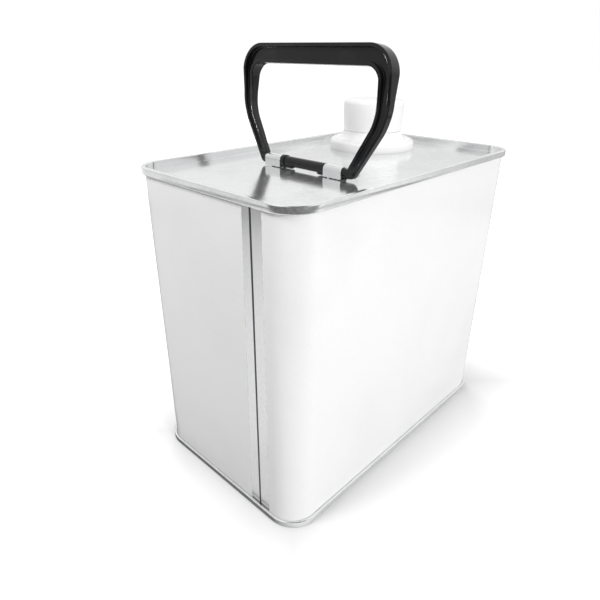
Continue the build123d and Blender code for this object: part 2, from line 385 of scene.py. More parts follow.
def new_group(name, inputs, output):
    """A shader node group with number or vector inputs and one number output."""
    group = bpy.data.node_groups.new(name, "ShaderNodeTree")
    for label, kind, start in inputs:
        socket = group.interface.new_socket(name=label, in_out="INPUT", socket_type=kind)
        socket.default_value = start
    group.interface.new_socket(name=output, in_out="OUTPUT", socket_type="NodeSocketFloat")
    return group


def add_noise(places, scale, detail):
    """A noise of a given scale over the places."""
    noise = add_beside(places, "ShaderNodeTexNoise")
    set_inputs(noise, Detail=detail, Vector=places, Scale=scale)
    return noise


def build_grain_group():
    """Fine noise between 0 and 1, of a given scale and stretch."""
    group = new_group(
        "grain",
        [("Scale", "NodeSocketFloat", 1000.0), ("Stretch", "NodeSocketVector", (1, 1, 1))],
        "Grain",
    )
    given = group.nodes.new("NodeGroupInput")
    places = vector_math("MULTIPLY", object_places(group), given.outputs["Stretch"])
    noise = add_noise(places, given.outputs["Scale"], GRAIN_DETAIL)
    result = group.nodes.new("NodeGroupOutput")
    set_inputs(result, Grain=noise.outputs["Fac"])
    return group


def build_smudge_group():
    """Soft marks: 0 where the surface is clean and 1 where it has been touched."""
    group = new_group("smudge", [("Scale", "NodeSocketFloat", 40.0)], "Smudge")
    given = group.nodes.new("NodeGroupInput")
    noise = add_noise(object_places(group), given.outputs["Scale"], SMUDGE_DETAIL)
    set_inputs(noise, Distortion=SMUDGE_DISTORTION)
    soft = rise(noise.outputs["Fac"], *SMUDGE_EDGE)
    soft.node.interpolation_type = "SMOOTHSTEP"
    result = group.nodes.new("NodeGroupOutput")
    set_inputs(result, Smudge=soft)
    return group


grain_group = build_grain_group()
smudge_group = build_smudge_group()
print("Node groups:", grain_group.name, "and", smudge_group.name)


# %% [markdown]
# A finish is one Principled shader. What is the same all over is set on its own sockets.
# What changes over the surface is a mix of two colours, or a range of roughness, that
# follows the smudges, and a very small bump that follows the grain.

# %% Helpers for a finish
def new_finish(name, **looks):
    """A material with its shader's plain sockets set. Gives material, node tree and shader."""
    material = bpy.data.materials.new(name)
    material.use_nodes = True
    shader = material.node_tree.nodes["Principled BSDF"]
    set_inputs(shader, **looks)
    return material, material.node_tree, shader


def place_group(tree, group, **values):
    """Places a shared group in a material, with its own values."""
    node = tree.nodes.new("ShaderNodeGroup")
    node.node_tree = group
    set_inputs(node, **values)
    return node.outputs[0]


def mix_colours(mask, first, second):
    """One colour where the mask is 0, and another where it is 1."""
    return choose(mask, first, second, "RGBA")


def add_bump(shader, height, strength, depth):
    """A bump of a real depth in metres, from a height between 0 and 1."""
    bump = add_beside(shader, "ShaderNodeBump")
    set_inputs(bump, Strength=strength, Distance=depth, Height=height)
    set_inputs(shader, Normal=bump.outputs["Normal"])


# %% [markdown]
# Bright tinplate is steel under a thin, reflowed coat of tin. It is almost a mirror,
# blurred a little by the rolling grain, so the lid shows the handle and the closure
# upside down. The grain runs along the can, in streaks a few tenths of a millimetre wide.
# It also scatters a little light, so that dark things look speckled in the tinplate.

# %% Bright tinplate
TINPLATE_LIGHT = (0.86, 0.865, 0.87)
TINPLATE_DULL = (0.80, 0.805, 0.81)
TIN_COVER = (0.98, 0.82)
ROLLING = (0.35, 1, 1)
GRAIN_SPREAD = (0.3, 0.7)
LID_BLUR, CLIP_BLUR = (0.13, 0.2), (0.2, 0.3)


def build_tinplate(name, blur):
    """Bright tinplate whose roughness stays between two values."""
    material, tree, shader = new_finish(name)
    smudge = place_group(tree, smudge_group, Scale=55)
    grain = place_group(tree, grain_group, Scale=1300, Stretch=ROLLING)
    set_inputs(
        shader,
        Base_Color=mix_colours(smudge, TINPLATE_LIGHT, TINPLATE_DULL),
        Roughness=map_value(smudge, *blur),
        Metallic=map_value(grain, *TIN_COVER, *GRAIN_SPREAD),
    )
    add_bump(shader, grain, strength=0.5, depth=0.004 * MM)
    return material


lid_tinplate = build_tinplate("bright_tinplate", LID_BLUR)
clip_tinplate = build_tinplate("clip_tinplate", CLIP_BLUR)
print("Tinplate for the lid and the base, and a duller one for the clips")

# %% [markdown]
# The wall is lacquered white outside. The lacquer stops short of the weld, because it
# would burn there, so a strip of bare tinplate shows on each side of the weld. The strip
# is a mask across the short side: it widens a little downwards and has a ragged edge,
# with a thin broken line where the lacquer ends.

# %% White lacquer with a bare margin
LACQUER_WHITE = (0.88, 0.88, 0.878)
LACQUER_SHADE = (0.80, 0.80, 0.797)
LACQUER_BLUR, LACQUER_COAT = 0.32, 0.35
WELD_Y = -26.6 * MM
WELD_WIDTH = 0.8 * MM
WELD_RISE = 0.1 * MM
MARGIN_NEAR = 5.7 * MM
MARGIN_FAR_TOP, MARGIN_FAR_FOOT = 4.3 * MM, 5.7 * MM
MARGIN_RAGGED = 0.25 * MM
MARGIN_TONE, MARGIN_BLUR = (0.7, 0.7, 0.705), 0.2
MARGIN_COVER = (0.96, 0.9)
EDGE_LINE = 0.1 * MM
EDGE_TONE = (0.42, 0.42, 0.42)
EDGE_BREAKS = 0.52


def build_lacquer():
    """White lacquer, bare in a strip along the weld on the short side."""
    material, tree, shader = new_finish("white_lacquer", Coat_Roughness=0.12)
    x, y, z = split_axes(object_places(tree))
    wobble_grain = place_group(tree, grain_group, Scale=600, Stretch=(1, 1, 0.3))
    wobble = map_value(wobble_grain, -MARGIN_RAGGED, MARGIN_RAGGED)
    far_edge = map_value(z, MARGIN_FAR_FOOT, MARGIN_FAR_TOP, 0, CREST)
    across = calculate(calculate(y, "SUBTRACT", WELD_Y), "ADD", wobble)
    past_near = calculate(across, "GREATER_THAN", -MARGIN_NEAR)
    before_far = calculate(across, "LESS_THAN", far_edge)
    on_side = calculate(x, "LESS_THAN", SHEET - HALF_LENGTH)
    bare = all_of(past_near, before_far, on_side)

    speck = place_group(tree, grain_group, Scale=900, Stretch=(1, 1, 0.6))
    off_near = calculate(calculate(across, "ADD", MARGIN_NEAR), "ABSOLUTE")
    off_far = calculate(calculate(across, "SUBTRACT", far_edge), "ABSOLUTE")
    nearest = calculate(off_near, "MINIMUM", off_far)
    on_edge = calculate(nearest, "LESS_THAN", EDGE_LINE)
    unbroken = calculate(speck, "GREATER_THAN", EDGE_BREAKS)
    edge_line = all_of(on_edge, on_side, unbroken)

    smudge = place_group(tree, smudge_group, Scale=14)
    mottle = calculate(calculate(smudge, "ADD", speck), "MULTIPLY", 0.5)
    white = mix_colours(mottle, LACQUER_WHITE, LACQUER_SHADE)
    lined = mix_colours(edge_line, white, EDGE_TONE)
    cover = map_value(speck, *MARGIN_COVER, *GRAIN_SPREAD)
    set_inputs(
        shader,
        Base_Color=mix_colours(bare, lined, MARGIN_TONE),
        Metallic=calculate(bare, "MULTIPLY", cover),
        Roughness=map_value(bare, LACQUER_BLUR, MARGIN_BLUR),
        Coat_Weight=map_value(bare, LACQUER_COAT, 0),
    )
    peel = place_group(tree, grain_group, Scale=260)
    add_bump(shader, peel, strength=0.15, depth=0.006 * MM)
    return material


lacquer = build_lacquer()
print("Bare margin", round((MARGIN_NEAR + MARGIN_FAR_TOP) / MM, 1), "mm wide at the top")

# %% [markdown]
# The weld itself is a line of bare steel. Copper wheels squeeze the overlapped edges
# together while a current melts them, which leaves the steel dark and slightly rough.

# %% The weld's steel
WELD_DARK = (0.035, 0.035, 0.038)
WELD_PALE = (0.11, 0.11, 0.115)
WELD_BLUR = (0.35, 0.55)


def build_weld():
    """Steel that the welding wheel has squeezed and darkened."""
    material, tree, shader = new_finish("weld_line", Metallic=0.9)
    grain = place_group(tree, grain_group, Scale=900, Stretch=(1, 1, 0.3))
    colour = mix_colours(grain, WELD_DARK, WELD_PALE)
    set_inputs(shader, Base_Color=colour, Roughness=map_value(grain, *WELD_BLUR))
    add_bump(shader, grain, strength=0.5, depth=0.02 * MM)
    return material


weld_finish = build_weld()
print("The weld's finish:", weld_finish.name)

# %% [markdown]
# The closure is soft polyethylene. Light enters it and spreads, so it looks milky. The
# handle is black polypropylene with a satin skin. The sealing pieces hardly show.

# %% Plastics and seals
SKIN_DEPTH = 0.02 * MM


def build_plastic(name, colours, blur, skin_scale, skin_strength, **looks):
    """A moulded plastic: two near colours, a range of roughness and a fine skin."""
    material, tree, shader = new_finish(name, **looks)
    smudge = place_group(tree, smudge_group, Scale=90)
    skin = place_group(tree, grain_group, Scale=skin_scale)
    colour = mix_colours(smudge, *colours)
    set_inputs(shader, Base_Color=colour, Roughness=map_value(smudge, *blur))
    add_bump(shader, skin, skin_strength, SKIN_DEPTH)
    return material


milky_plastic = build_plastic(
    "milky_plastic",
    colours=((0.9, 0.9, 0.895), (0.87, 0.87, 0.865)),
    blur=(0.34, 0.44),
    skin_scale=900,
    skin_strength=0.1,
    Subsurface_Weight=0.5,
    Subsurface_Scale=2 * MM,
    Subsurface_Radius=(1, 1, 0.95),
)
black_plastic = build_plastic(
    "black_plastic",
    colours=((0.007, 0.007, 0.008), (0.012, 0.012, 0.013)),
    blur=(0.13, 0.22),
    skin_scale=1400,
    skin_strength=0.15,
    Specular_IOR_Level=0.35,
)
seam_rubber = build_plastic(
    "seam_rubber",
    colours=((0.5, 0.48, 0.44), (0.42, 0.4, 0.37)),
    blur=(0.7, 0.85),
    skin_scale=1200,
    skin_strength=0.4,
)
liner_foam = build_plastic(
    "liner_foam",
    colours=((0.8, 0.8, 0.78), (0.72, 0.72, 0.7)),
    blur=(0.75, 0.9),
    skin_scale=2200,
    skin_strength=0.8,
)
plastics = (milky_plastic, black_plastic, seam_rubber, liner_foam)
print("Plastics and seals:", ", ".join(plastic.name for plastic in plastics))

# %% [markdown]
# The wall of a real can is one sheet. Rollers bend it round, its edges are welded, and
# the rim is flanged outwards and folded down inside the seam. So its section is a single
# line, from the hook inside the top seam down to the hook inside the base seam. The line
# is the middle of the sheet, and Solidify gives it the sheet's thickness.

# %% The wall
def on_front(outwards, height):
    """A place over the middle of the front, so far outside the wall."""
    return (0, -HALF_WIDTH - outwards, height)


def build_wall():
    """The lacquered wall with its hooks, and the raised line of the weld."""
    reach = 2 * LAYER - HALF_SHEET
    hook_end = SEAM_HEIGHT - SHEET - HOOK_GAP
    wall = new_piece("tin_wall")
    corners = [
        (reach, CREST - hook_end, 0),
        (reach, CREST - HOOK_TOP, SEAM_BEND),
        (-HALF_SHEET, CREST - HOOK_TOP, SEAM_BEND),
        (-HALF_SHEET, HOOK_TOP, SEAM_BEND),
        (reach, HOOK_TOP, SEAM_BEND),
        (reach, hook_end, 0),
    ]
    draw_section(on_front, corners)
    carry_round_can()
    give_thickness(wall)

    def on_weld_side(face):
        return face.normal.x < -FACING and face.calc_center_median().x < NEAR - HALF_LENGTH

    bpy.ops.object.mode_set(mode="EDIT")
    close_up()
    for edge in (WELD_Y - WELD_WIDTH / 2, WELD_Y + WELD_WIDTH / 2):
        select_where("faces", on_weld_side)
        bpy.ops.mesh.bisect(plane_co=(0, edge, 0), plane_no=(0, 1, 0))
    select_where(
        "faces",
        lambda face: on_weld_side(face)
        and abs(face.calc_center_median().y - WELD_Y) < WELD_WIDTH / 2
        and face.calc_center_median().z > SEAM_HEIGHT,
    )
    extrude_by((-WELD_RISE, 0, 0))
    leave_edit_mode()
    return wall


wall = build_wall()
finish_piece(wall, lacquer, "lacquered_tinplate", "tin", "body_shell")
wall.data.materials.append(weld_finish)
for face in wall.data.polygons:
    on_line = abs(face.center.y - WELD_Y) < (WELD_WIDTH + NEAR) / 2
    if on_line and face.center.x < -HALF_LENGTH - NEAR and face.center.z > SEAM_HEIGHT:
        face.material_index = 1

# %% [markdown]
# The lid and the base are pressed plates with the same edge. From the plate the sheet
# turns up the chuck wall, over the crest, down outside the seam, and back up inside it.
# The lid also has a neck for the closure, drawn up and curled outwards. The flat plate is
# filled in between the edge and the neck last, so that the whole lid is one sheet.

# %% The lid and the base
NECK_RADIUS = 18 * MM
NECK_HEIGHT = 2.9 * MM
NECK_BEND = 0.6 * MM
NECK_FOOT = 1.6 * MM
CURL_REACH = 2.4 * MM
CURL_DROP = 1.3 * MM
SEAM_BULGE = 0.035 * MM
BULGE_RADIUS = 12 * MM


def draw_end_edge(crest, up):
    """Section of an end's edge, upright for the lid and upside down for the base."""
    chuck = HALF_SHEET - SHEET - LAYER
    outside = SEAM_REACH - HALF_SHEET
    hook = SEAM_GAP + HALF_SHEET
    plate = HALF_SHEET - COUNTERSINK - SHEET
    corners = [
        (-PLATE_INSET, plate, 0),
        (chuck, plate, SEAM_BEND),
        (chuck, -HALF_SHEET, SEAM_BEND),
        (outside - SEAM_BULGE, -HALF_SHEET, SEAM_BEND),
        (outside, -SEAM_HEIGHT / 2, BULGE_RADIUS),
        (outside - SEAM_BULGE, HALF_SHEET - SEAM_HEIGHT, SEAM_BEND),
        (hook, HALF_SHEET - SEAM_HEIGHT, SEAM_BEND),
        (hook, -HOOK_TOP - HALF_SHEET - HOOK_GAP, 0),
    ]
    draw_section(lambda outwards, level: on_front(outwards, crest + up * level), corners)


def from_closure(radius, height):
    """A place beside the closure's axis, at a height over the lid's plate."""
    return CLOSURE + Vector((radius, 0, height))


def fill_plate(level):
    """Fills the flat plate between the open edges at a level."""
    select_where(
        "edges",
        lambda edge: edge.is_boundary and all(abs(v.co.z - level) < NEAR for v in edge.verts),
    )
    bpy.ops.mesh.fill(use_beauty=True)
    close_up()


def build_lid():
    """The lid, with its seam and its curled neck."""
    lid = new_piece("tin_lid")
    draw_end_edge(CREST, 1)
    carry_round_can()
    line, top = NECK_RADIUS + HALF_SHEET, NECK_HEIGHT - HALF_SHEET
    neck = [
        (line + NECK_FOOT, -HALF_SHEET, 0),
        (line, -HALF_SHEET, NECK_BEND),
        (line, top, NECK_BEND),
        (line + CURL_REACH, top, NECK_BEND),
        (line + CURL_REACH, top - CURL_DROP, 0),
    ]
    draw_section(from_closure, neck)
    spin_section(CLOSURE)
    fill_plate(PANEL - HALF_SHEET)
    give_thickness(lid)
    return lid


def build_base():
    """The base, a plain plate with its seam."""
    base = new_piece("tin_base")
    draw_end_edge(0, -1)
    carry_round_can()
    fill_plate(COUNTERSINK + HALF_SHEET)
    give_thickness(base)
    return base


finish_piece(build_lid(), lid_tinplate, "bright_tinplate", "tin", "top_end")
finish_piece(build_base(), lid_tinplate, "bright_tinplate", "tin", "bottom_end")

# %% [markdown]
# Each clip is a strip of the same tinplate. It is bent over one end of the handle's bar
# like a bridge, with a short leg in front and a foot behind that is spot welded to the
# lid. The strip's line is drawn, spun half a turn over the bar, and extruded sideways.

# %% The clips
CLIP_WIDTH = 9.4 * MM
CLIP_FRONT_GAP = 0.3 * MM
CLIP_STEPS = 16
SHEARED = 0.12 * MM
CLIP_FLANGE = 9.0 * MM
CLIP_BEND = 0.7 * MM
CLIP_EDGE, CLIP_SHARP = 0.06 * MM, math.radians(40)
SHEAR_WAVES = (3, 7)
SPOT_STEPS = 48
SPOT_RADIUS, SPOT_DEPTH, SPOT_INSET = 1.6 * MM, 0.12 * MM, 4.6 * MM
JOURNAL_RADIUS = 1.7 * MM
JOURNAL_CLEARANCE = 0.1 * MM
CLIP_RADIUS = JOURNAL_RADIUS + JOURNAL_CLEARANCE + HALF_SHEET


def press_spot(clip, middle):
    """Sinks the shallow round mark of a spot weld into a clip's foot."""
    leave_edit_mode()
    bpy.ops.mesh.primitive_cylinder_add(
        vertices=SPOT_STEPS, radius=SPOT_RADIUS, depth=2 * SPOT_DEPTH, location=middle
    )
    punch = bpy.context.object
    apply_modifier(clip, "BOOLEAN", operation="DIFFERENCE", object=punch, solver="EXACT")
    bpy.data.objects.remove(punch)


def shear_end(clip, level):
    """Makes the cut end of the front leg uneven, as a worn shear leaves it."""
    cage = bmesh.from_edit_mesh(clip.data)
    slow, fast = SHEAR_WAVES
    for vert in cage.verts:
        if abs(vert.co.z - level) < NEAR:
            along = vert.co.y / CLIP_WIDTH * math.tau
            vert.co.z += SHEARED * math.sin(slow * along) * math.cos(fast * along)
    bmesh.update_edit_mesh(clip.data)


def build_clip(name, node):
    """One clip, as wide and in the same place as its node."""
    low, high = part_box(node)
    middle_y = (low.y + high.y) / 2
    pivot_height = PIVOT.z - PANEL
    front = PIVOT + Vector((-CLIP_RADIUS, low.y - PIVOT.y, 0))
    back = PIVOT + Vector((CLIP_RADIUS, low.y - PIVOT.y, 0))
    clip = new_piece(name)
    draw_line([(front + Vector((0, 0, CLIP_FRONT_GAP - pivot_height)), 0), (front, 0)])
    select_at(front)
    bpy.ops.mesh.spin(
        steps=arc_steps(CLIP_RADIUS, math.pi),
        angle=math.pi,
        center=(PIVOT.x, low.y, PIVOT.z),
        axis=(0, -1, 0),
    )
    foot = HALF_SHEET - pivot_height
    draw_line(
        [
            (back, 0),
            (back + Vector((0, 0, foot)), CLIP_BEND),
            (back + Vector((CLIP_FLANGE, 0, foot)), 0),
        ]
    )
    select_everything()
    bpy.ops.mesh.remove_doubles(threshold=NEAR)
    for _ in range(CLIP_STEPS):
        extrude_by((0, CLIP_WIDTH / CLIP_STEPS, 0))
    close_up()
    shear_end(clip, PANEL + CLIP_FRONT_GAP)
    give_thickness(clip)
    for side in (-1, 1):
        press_spot(clip, (back.x + SPOT_INSET, middle_y + side * CLIP_WIDTH / 4, PANEL + SHEET))
    apply_modifier(clip, "BEVEL", width=CLIP_EDGE, segments=2, angle_limit=CLIP_SHARP)
    return clip


for side in ("left", "right"):
    clip = build_clip(f"{side}_clip", f"{side}_handle_clip")
    finish_piece(clip, clip_tinplate, "bright_tinplate", "tin", f"{side}_handle_clip")

# %% [markdown]
# The handle is one moulding. Its frame is an arch with a rib along each edge and a thin
# web between them, which gives the stiffness of a thick bar with little plastic and no
# sink marks. The arch is drawn as an outline, filled, cut into bands, and given its
# thickness band by band. Each face is then inset by the rib's width and pushed in.

# %% Sizes of the handle
HANDLE_LEAN = math.radians(5)
ROOT_INNER, ROOT_OUTER = 22.0 * MM, 27.5 * MM
KNEE_INNER_HEIGHT, KNEE_OUTER_HEIGHT = 20.3 * MM, 19.9 * MM
KNEE_INNER_RADIUS, KNEE_OUTER_RADIUS = 16 * MM, 21 * MM
GRIP_INNER, GRIP_OUTER = 33.7 * MM, 39.5 * MM
GRIP_TOP, GRIP_DEPTH = 46.5 * MM, 7.6 * MM
GRIP_INNER_ROUND, GRIP_OUTER_ROUND = 5.5 * MM, 11 * MM
HEEL_ROUND = 2.4 * MM
BAR_RADIUS = 2.15 * MM
ARM_THICKNESS, ARM_TOP_THICKNESS, GRIP_THICKNESS = 2.4 * MM, 3.4 * MM, 5.4 * MM
ARM_TOP_LEVEL, GRIP_LEVEL = 27 * MM, 37 * MM
RIB_WIDTH, WEB_THICKNESS = 1.4 * MM, 1.2 * MM
POCKET_BOTTOM = 3.2 * MM
EDGE_SOFT, RIB_SOFT = 0.2 * MM, 0.28 * MM
END_PLAY = 0.25 * MM
JOURNAL_INSET = 1.0 * MM
COLLAR_RADIUS, COLLAR_WIDTH = 2.5 * MM, 2.4 * MM
NOTCH_CLEARANCE = 0.4 * MM
FOOT_RADIUS, FOOT_THICKNESS = 2.95 * MM, 3.2 * MM
LEFT_FOOT_INNER, RIGHT_FOOT_INNER = 7.9 * MM, 7.7 * MM
FOOT_SETBACK = 0.05 * MM

left_low, left_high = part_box("left_handle_clip")
right_low, right_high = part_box("right_handle_clip")
LEFT_STOP = left_low.y - PIVOT.y - END_PLAY
RIGHT_STOP = PIVOT.y - right_high.y - END_PLAY
LEFT_NOTCH = left_high.y - PIVOT.y + NOTCH_CLEARANCE
RIGHT_NOTCH = PIVOT.y - right_low.y + NOTCH_CLEARANCE


# %% The arch of the handle
def soften_edges(piece, width):
    """Rounds the sharp edges of a moulded piece."""
    apply_modifier(
        piece, "BEVEL", width=width, segments=3, angle_limit=SMOOTH_ANGLE, use_clamp_overlap=False
    )


def arch_corners():
    """Corners of the arch on its right side, from the top middle down and back up."""
    outer_slope = (GRIP_OUTER - ROOT_OUTER) / KNEE_OUTER_HEIGHT
    inner_slope = (GRIP_INNER - ROOT_INNER) / KNEE_INNER_HEIGHT
    heel = -BAR_RADIUS
    return [
        (GRIP_OUTER, GRIP_TOP, GRIP_OUTER_ROUND),
        (GRIP_OUTER, KNEE_OUTER_HEIGHT, KNEE_OUTER_RADIUS),
        (ROOT_OUTER + heel * outer_slope, heel, HEEL_ROUND),
        (ROOT_INNER + heel * inner_slope, heel, 0),
        (GRIP_INNER, KNEE_INNER_HEIGHT, KNEE_INNER_RADIUS),
        (GRIP_INNER, GRIP_TOP - GRIP_DEPTH, GRIP_INNER_ROUND),
    ]


def half_thickness(height):
    """Half the thickness of the arch: it grows up the arms, and again into the grip."""
    climb = min(max(height / ARM_TOP_LEVEL, 0), 1)
    swell = min(max((height - ARM_TOP_LEVEL) / (GRIP_LEVEL - ARM_TOP_LEVEL), 0), 1)
    arm = ARM_THICKNESS + climb * (ARM_TOP_THICKNESS - ARM_THICKNESS)
    return (arm + swell * (GRIP_THICKNESS - ARM_TOP_THICKNESS)) / 2


def over_pivot(along, height):
    """A place in the handle's middle plane, with the pivot at the origin."""
    return (0, along, height)


def build_arch():
    """The ribbed arch, upright. It is drawn 2 m thick, and then drawn in to its own."""
    arch = new_piece("carry_handle")
    right = arch_corners()
    left = [(-across, height, bend) for across, height, bend in reversed(right)]
    draw_section(over_pivot, [(0, GRIP_TOP, 0)] + right + left, closed=True)
    bpy.ops.mesh.edge_face_add()
    for level in (POCKET_BOTTOM - RIB_WIDTH, 0, ARM_TOP_LEVEL, GRIP_LEVEL):
        select_everything()
        bpy.ops.mesh.bisect(plane_co=(0, 0, level), plane_no=(0, 0, 1))
    select_everything()
    bpy.ops.transform.translate(value=(-1, 0, 0))
    extrude_by((2, 0, 0))
    cage = bmesh.from_edit_mesh(arch.data)
    for vert in cage.verts:
        vert.co.x *= half_thickness(vert.co.z)
    bmesh.update_edit_mesh(arch.data)
    close_up()
    for side in (-1, 1):
        pocket_floor = Vector((side * WEB_THICKNESS / 2, 0, 0))
        select_where(
            "faces",
            lambda face: face.normal.x * side > FACING
            and face.calc_center_median().z > POCKET_BOTTOM - RIB_WIDTH,
        )
        bpy.ops.mesh.inset(thickness=RIB_WIDTH, use_even_offset=True)
        extrude_by((-side * NEAR, 0, 0))
        bpy.ops.transform.resize(value=(0, 1, 1), center_override=pocket_floor)
    close_up()
    soften_edges(arch, RIB_SOFT)
    return arch


# %% [markdown]
# The lower bar of the handle is round, so its section is spun about the pivot line. It is
# thin inside the clips, thick between them, and has a collar against the left clip. Two
# feet under the bar stop the handle from lifting out. All of it is joined to the arch
# with booleans, and the arms get a round notch where they pass over the clips' ends.

# %% The bar of the handle
def build_round(name, steps):
    """A round block along Y, from steps given as place, radius and rounding."""
    block = new_piece(name)
    draw_section(over_pivot, steps)
    spin_section((0, 0, 0), axis=(0, 1, 0))
    leave_edit_mode()
    return block


def build_bar():
    """The stepped round bar, lying along Y through the origin."""
    end = ROOT_OUTER - JOURNAL_INSET
    collar = LEFT_STOP - COLLAR_WIDTH
    steps = [
        (-end, 0, 0),
        (-end, JOURNAL_RADIUS, 0),
        (-RIGHT_STOP, JOURNAL_RADIUS, 0),
        (-RIGHT_STOP, BAR_RADIUS, EDGE_SOFT),
        (collar, BAR_RADIUS, 0),
        (collar, COLLAR_RADIUS, EDGE_SOFT / 2),
        (LEFT_STOP, COLLAR_RADIUS, EDGE_SOFT),
        (LEFT_STOP, JOURNAL_RADIUS, 0),
        (end, JOURNAL_RADIUS, 0),
        (end, 0, 0),
    ]
    return build_round("handle_bar", steps)


def build_notch():
    """The round block that cuts room in the arms for the clips' outer ends."""
    radius = CLIP_RADIUS + HALF_SHEET + NOTCH_CLEARANCE
    steps = [
        (-RIGHT_NOTCH, 0, 0),
        (-RIGHT_NOTCH, radius, 0),
        (LEFT_NOTCH, radius, 0),
        (LEFT_NOTCH, 0, 0),
    ]
    return build_round("notch", steps)


def build_foot(name, start, end):
    """A foot under the bar: a narrow block whose round sole clears the lid as it turns."""
    side = FOOT_THICKNESS / 2
    slope = math.asin(side / FOOT_RADIUS)
    shoulder = -FOOT_RADIUS * math.cos(slope)
    corners = [
        ((-side, start, 0), 0),
        ((-side, start, shoulder), 0),
        ((0, start, -FOOT_RADIUS / math.cos(slope)), FOOT_RADIUS),
        ((side, start, shoulder), 0),
        ((side, start, 0), 0),
    ]
    foot = new_piece(name)
    draw_line(corners, closed=True)
    bpy.ops.mesh.remove_doubles(threshold=NEAR)
    bpy.ops.mesh.edge_face_add()
    extrude_by((0, end - start, 0))
    close_up()
    soften_edges(foot, EDGE_SOFT)
    return foot


def combine(piece, other, operation):
    """Joins or cuts a piece with another, which is used up."""
    apply_modifier(piece, "BOOLEAN", operation=operation, object=other, solver="MANIFOLD")
    bpy.data.objects.remove(other)


# %% The handle, put together
def build_handle():
    """Arch, bar and feet as one piece, leaning as it rests, at its pivot."""
    handle = build_arch()
    combine(handle, build_notch(), "DIFFERENCE")
    bar = build_bar()
    left_end, right_end = LEFT_STOP - FOOT_SETBACK, FOOT_SETBACK - RIGHT_STOP
    combine(bar, build_foot("left_foot", LEFT_FOOT_INNER, left_end), "UNION")
    combine(bar, build_foot("right_foot", right_end, -RIGHT_FOOT_INNER), "UNION")
    combine(handle, bar, "UNION")
    handle.data.transform(Matrix.Translation(PIVOT) @ Matrix.Rotation(HANDLE_LEAN, 4, "Y"))
    return handle


handle = build_handle()
finish_piece(handle, black_plastic, "black_plastic", "handle", "handle")

# %% [markdown]
# The closure is turned work in shape, though it is moulded: a ring that snaps over the
# neck, a spout that slides up through it, and a cap. Each is a closed section spun about
# the closure's axis. Small roundings on the corners stand for the mould's soft edges.

# %% The closure ring
def build_turned(name, corners):
    """A closed section, given as radius, height over the plate and rounding, spun round."""
    piece = new_piece(name)
    draw_section(from_closure, corners, closed=True)
    spin_section(CLOSURE)
    return piece


CORNER_SOFT = 0.2 * MM
SPOUT_RADIUS = 12.8 * MM
RING_RADIUS, FLANGE_HEIGHT, FLANGE_ROUND = 22.3 * MM, 4.7 * MM, 1.7 * MM
STEP_RADIUS, STEP_HEIGHT, STEP_SOFT = 20.0 * MM, 0.4 * MM, 0.1 * MM
COLLAR_FOOT_RADIUS, COLLAR_FOOT, COLLAR_ROUND = 15.7 * MM, 6.1 * MM, 2.4 * MM
COLLAR_TOP_RADIUS, COLLAR_TOP, COLLAR_SOFT = 15.4 * MM, 9.0 * MM, 0.3 * MM
LAND_BORE, LAND_FOOT = 12.95 * MM, 3.0 * MM
GUIDE_BORE, GUIDE_RADIUS, GUIDE_FOOT = 13.95 * MM, 15.15 * MM, -11.1 * MM
PLUG_BORE, PLUG_RADIUS, PLUG_FOOT = 16.5 * MM, 17.8 * MM, -3.0 * MM
UNDER_FLANGE = 3.5 * MM
SKIRT_BORE, BEAD_BORE = 21.0 * MM, 20.55 * MM
BEAD_TOP, BEAD_MIDDLE, BEAD_FOOT = 1.3 * MM, 0.9 * MM, 0.5 * MM
RING_CORNERS = [
    (RING_RADIUS, 0, 0),
    (RING_RADIUS, FLANGE_HEIGHT, FLANGE_ROUND),
    (STEP_RADIUS, FLANGE_HEIGHT, STEP_SOFT),
    (STEP_RADIUS, FLANGE_HEIGHT + STEP_HEIGHT, CORNER_SOFT),
    (COLLAR_FOOT_RADIUS, COLLAR_FOOT, COLLAR_ROUND),
    (COLLAR_TOP_RADIUS, COLLAR_TOP, COLLAR_SOFT),
    (LAND_BORE, COLLAR_TOP, CORNER_SOFT),
    (LAND_BORE, LAND_FOOT, 0),
    (GUIDE_BORE, LAND_FOOT, 0),
    (GUIDE_BORE, GUIDE_FOOT, CORNER_SOFT),
    (GUIDE_RADIUS, GUIDE_FOOT, CORNER_SOFT),
    (GUIDE_RADIUS, UNDER_FLANGE, 0),
    (PLUG_BORE, UNDER_FLANGE, 0),
    (PLUG_BORE, PLUG_FOOT, CORNER_SOFT),
    (PLUG_RADIUS, PLUG_FOOT, CORNER_SOFT),
    (PLUG_RADIUS, UNDER_FLANGE, 0),
    (SKIRT_BORE, UNDER_FLANGE, 0),
    (SKIRT_BORE, BEAD_TOP, 0),
    (BEAD_BORE, BEAD_MIDDLE, STEP_SOFT),
    (SKIRT_BORE, BEAD_FOOT, 0),
    (SKIRT_BORE, 0, 0),
]
ring = build_turned("snap_ring", RING_CORNERS)
finish_piece(ring, milky_plastic, "white_plastic", "tin", "closure_ring")

# %% [markdown]
# The spout is a plain tube with a stop at its foot. Its mouth is drawn in just below the
# top and comes to a thin edge, so that the oil breaks off cleanly and doesn't run down.

